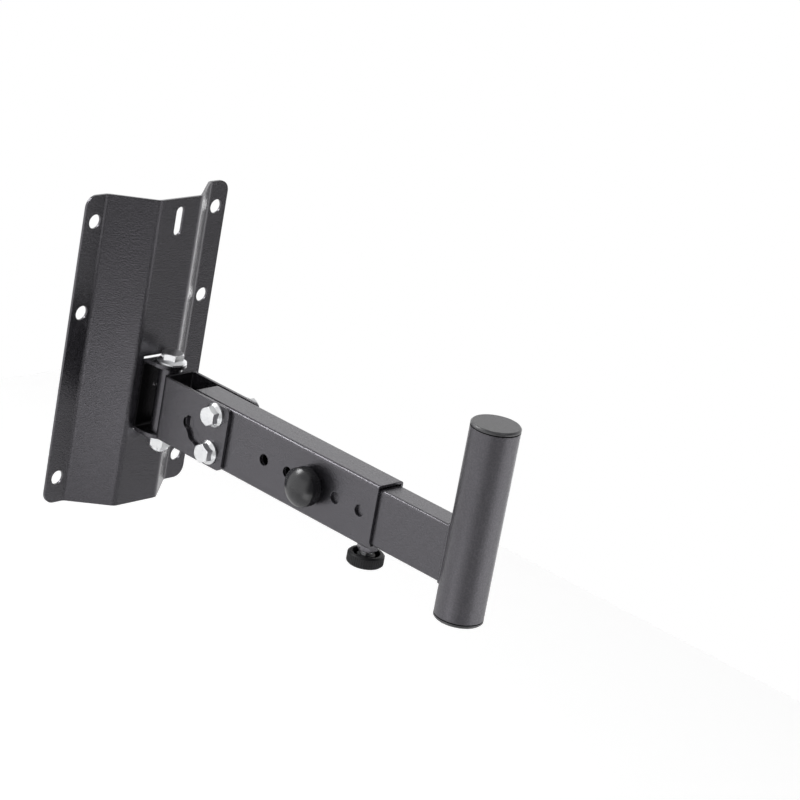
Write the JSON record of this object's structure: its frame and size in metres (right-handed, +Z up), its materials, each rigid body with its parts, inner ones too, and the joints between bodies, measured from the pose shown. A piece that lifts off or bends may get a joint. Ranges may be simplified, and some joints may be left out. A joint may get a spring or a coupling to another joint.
{
  "type": "speaker wall bracket",
  "caption": "Folded wall plate with a swivelling, tilting telescopic arm that ends in an upright stub pole for a small speaker.",
  "frame": {"origin": "centre of the four corner bolts, on the wall's surface", "axes": "+X to the right seen from the room, +Y into the wall, +Z up; the arm reaches out along -Y"},
  "size_m": [0.14, 0.3665, 0.24],
  "materials": {
    "powder_coat": "satin",
    "zinc": "satin",
    "cap_plastic": "matte",
    "knob_plastic": "gloss",
    "thumb_plastic": "matte"
  },
  "bodies": {
    "base": {"wall_plate": "powder_coat", "hinge_bracket": "powder_coat", "swivel_bolt": "zinc", "swivel_washer": "zinc", "swivel_nut": "zinc"},
    "yoke": {"pivot_barrel": "powder_coat", "tilt_channel": "powder_coat", "tilt_pivot_bolt": "zinc", "tilt_pivot_nut": "zinc"},
    "arm": {"outer_tube": "powder_coat", "tilt_lock_bolt": "zinc", "tilt_lock_nut": "zinc", "thumb_nut": "powder_coat"},
    "extension": {"inner_tube": "powder_coat", "pole_tube": "powder_coat", "pole_top_cap": "cap_plastic", "pole_bottom_cap": "cap_plastic"},
    "lock_screw": {"lock_stud": "zinc"},
    "lock_grip": {"lock_knob": "knob_plastic"},
    "thumb_screw": {"thumb_stud": "zinc"},
    "thumb_grip": {"thumb_knob": "thumb_plastic"}
  },
  "joints": [
    {"name": "swivel", "type": "hinge", "parent": "base", "child": "yoke", "pos_m": [0, -0.041, 0], "axis": [0, 0, 1], "range_deg": [-75, 75]},
    {"name": "tilt", "type": "hinge", "parent": "yoke", "child": "arm", "pos_m": [0, -0.107, -0.0161], "axis": [1, 0, 0], "range_deg": [0, 57.6]},
    {"name": "extension_slide", "type": "slide", "parent": "arm", "child": "extension", "axis": [0, -1, 0], "range_m": [0, 0.048]},
    {"name": "lock_travel", "type": "slide", "parent": "arm", "child": "lock_screw", "axis": [1, 0, 0], "range_m": [0, 0.0042]},
    {"name": "lock_turn", "type": "hinge", "parent": "lock_screw", "child": "lock_grip", "pos_m": [0, -0.207, -0.0311], "axis": [1, 0, 0], "range_deg": [0, 1210]},
    {"name": "thumb_travel", "type": "slide", "parent": "arm", "child": "thumb_screw", "axis": [0, 0, 1], "range_m": [-0.004, 0.00025]},
    {"name": "thumb_turn", "type": "hinge", "parent": "thumb_screw", "child": "thumb_grip", "pos_m": [0, -0.258, 0], "axis": [0, 0, 1], "range_deg": [-1153, 73]}
  ],
  "couplings": [
    {"joint": "lock_turn", "follows": "lock_travel", "rad_per_m": 5026.5},
    {"joint": "thumb_turn", "follows": "thumb_travel", "rad_per_m": 5026.5}
  ]
}
